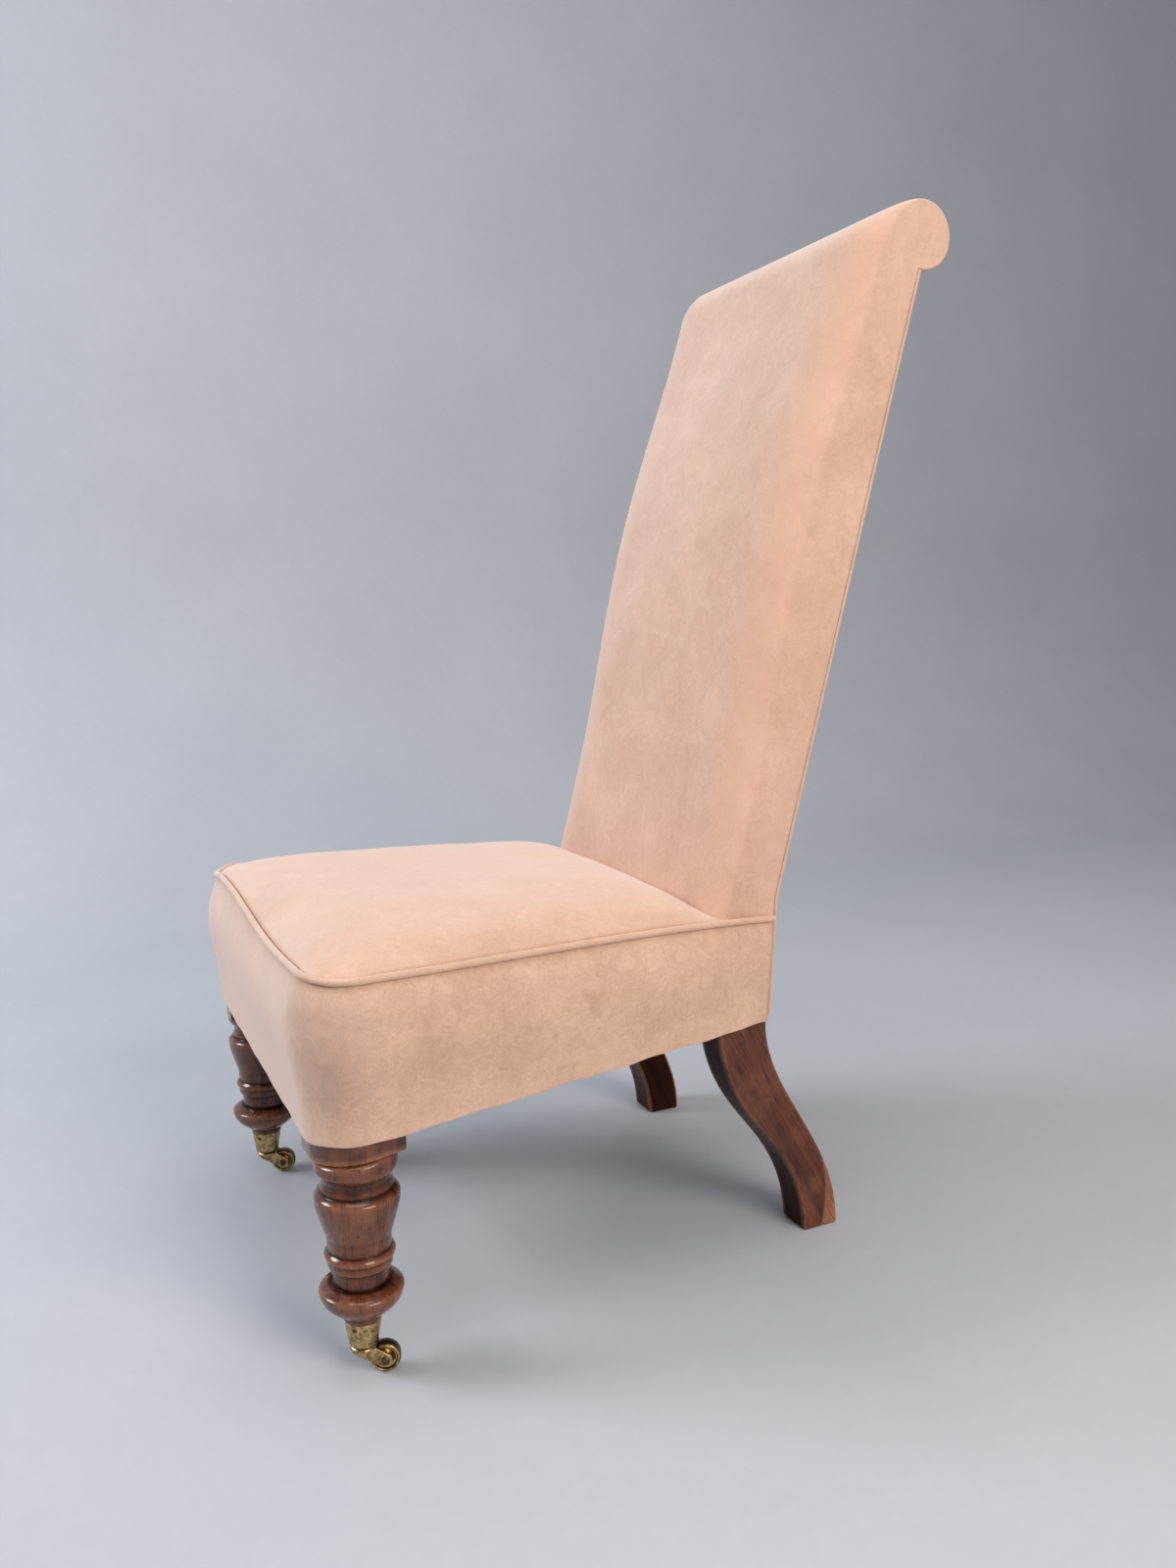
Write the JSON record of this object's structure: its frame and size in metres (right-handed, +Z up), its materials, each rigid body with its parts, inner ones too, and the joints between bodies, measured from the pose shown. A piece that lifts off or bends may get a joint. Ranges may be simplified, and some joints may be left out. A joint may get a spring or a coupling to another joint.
{
  "type": "chair",
  "caption": "Victorian slipper chair with a tall raked back and rolled top, peach velvet cover, turned front legs on brass casters and sabre rear legs.",
  "frame": {"origin": "On the floor, under the middle of the chair's bounding box.", "axes": "+Z up, -Y towards the front of the seat, +X to the left of someone who sits in the chair."},
  "size_m": [0.4894, 0.6598, 1.016],
  "materials": {
    "peach_velvet": "short-napped peach velvet or faux suede, matt",
    "mahogany": "dark reddish polish, worn on the edges",
    "beech": "bare frame timber, hidden",
    "brass": "old cast brass with dark patina",
    "steel_wire": "coppered or plain spring wire, hidden",
    "jute_web": "woven jute, hidden",
    "hessian_cloth": "open woven jute cloth, hidden",
    "hair_stuffing": "curled hair and wadding, hidden",
    "black_cotton": "thin black cotton, matt"
  },
  "bodies": {
    "chair": {"front_rail": "beech", "side_rail_left": "beech", "side_rail_right": "beech", "rear_rail": "beech", "stay_rail": "beech", "crest_rail": "beech", "front_leg_left": "mahogany", "front_leg_right": "mahogany", "rear_post_left": "mahogany", "rear_post_right": "mahogany", "caster_socket_left": "brass", "caster_screw_left_1": "brass", "caster_screw_left_2": "brass", "caster_socket_right": "brass", "caster_screw_right_1": "brass", "caster_screw_right_2": "brass", "seat_web_long_1": "jute_web", "seat_web_long_2": "jute_web", "seat_web_long_3": "jute_web", "seat_web_cross_1": "jute_web", "seat_web_cross_2": "jute_web", "seat_web_cross_3": "jute_web", "bottoming_cloth": "black_cotton", "seat_spring_1": "steel_wire", "seat_spring_2": "steel_wire", "seat_spring_3": "steel_wire", "seat_spring_4": "steel_wire", "seat_spring_5": "steel_wire", "seat_hessian": "hessian_cloth", "seat_stuffing": "hair_stuffing", "seat_top_cover": "peach_velvet", "seat_border": "peach_velvet", "seat_piping": "peach_velvet", "back_web_1": "jute_web", "back_web_2": "jute_web", "back_web_3": "jute_web", "back_hessian": "hessian_cloth", "back_stuffing": "hair_stuffing", "inside_back_cover": "peach_velvet", "outside_back_cover": "peach_velvet"},
    "caster_left": {"caster_horn_left": "brass", "caster_axle_left": "brass"},
    "wheel_left": {"caster_wheel_left": "brass"},
    "caster_right": {"caster_horn_right": "brass", "caster_axle_right": "brass"},
    "wheel_right": {"caster_wheel_right": "brass"}
  },
  "joints": [
    {"name": "caster_left_swivel", "type": "hinge", "parent": "chair", "child": "caster_left", "pos_m": [0.20158, -0.27779, 0.0265], "axis": [0, 0, 1], "continuous": true},
    {"name": "wheel_left_spin", "type": "hinge", "parent": "caster_left", "child": "wheel_left", "pos_m": [0.20708, -0.26087, 0.013], "axis": [-0.9511, 0.309, 0], "continuous": true},
    {"name": "caster_right_swivel", "type": "hinge", "parent": "chair", "child": "caster_right", "pos_m": [-0.20158, -0.27779, 0.0265], "axis": [0, 0, 1], "continuous": true},
    {"name": "wheel_right_spin", "type": "hinge", "parent": "caster_right", "child": "wheel_right", "pos_m": [-0.19608, -0.26087, 0.013], "axis": [-0.9511, 0.309, 0], "continuous": true}
  ]
}
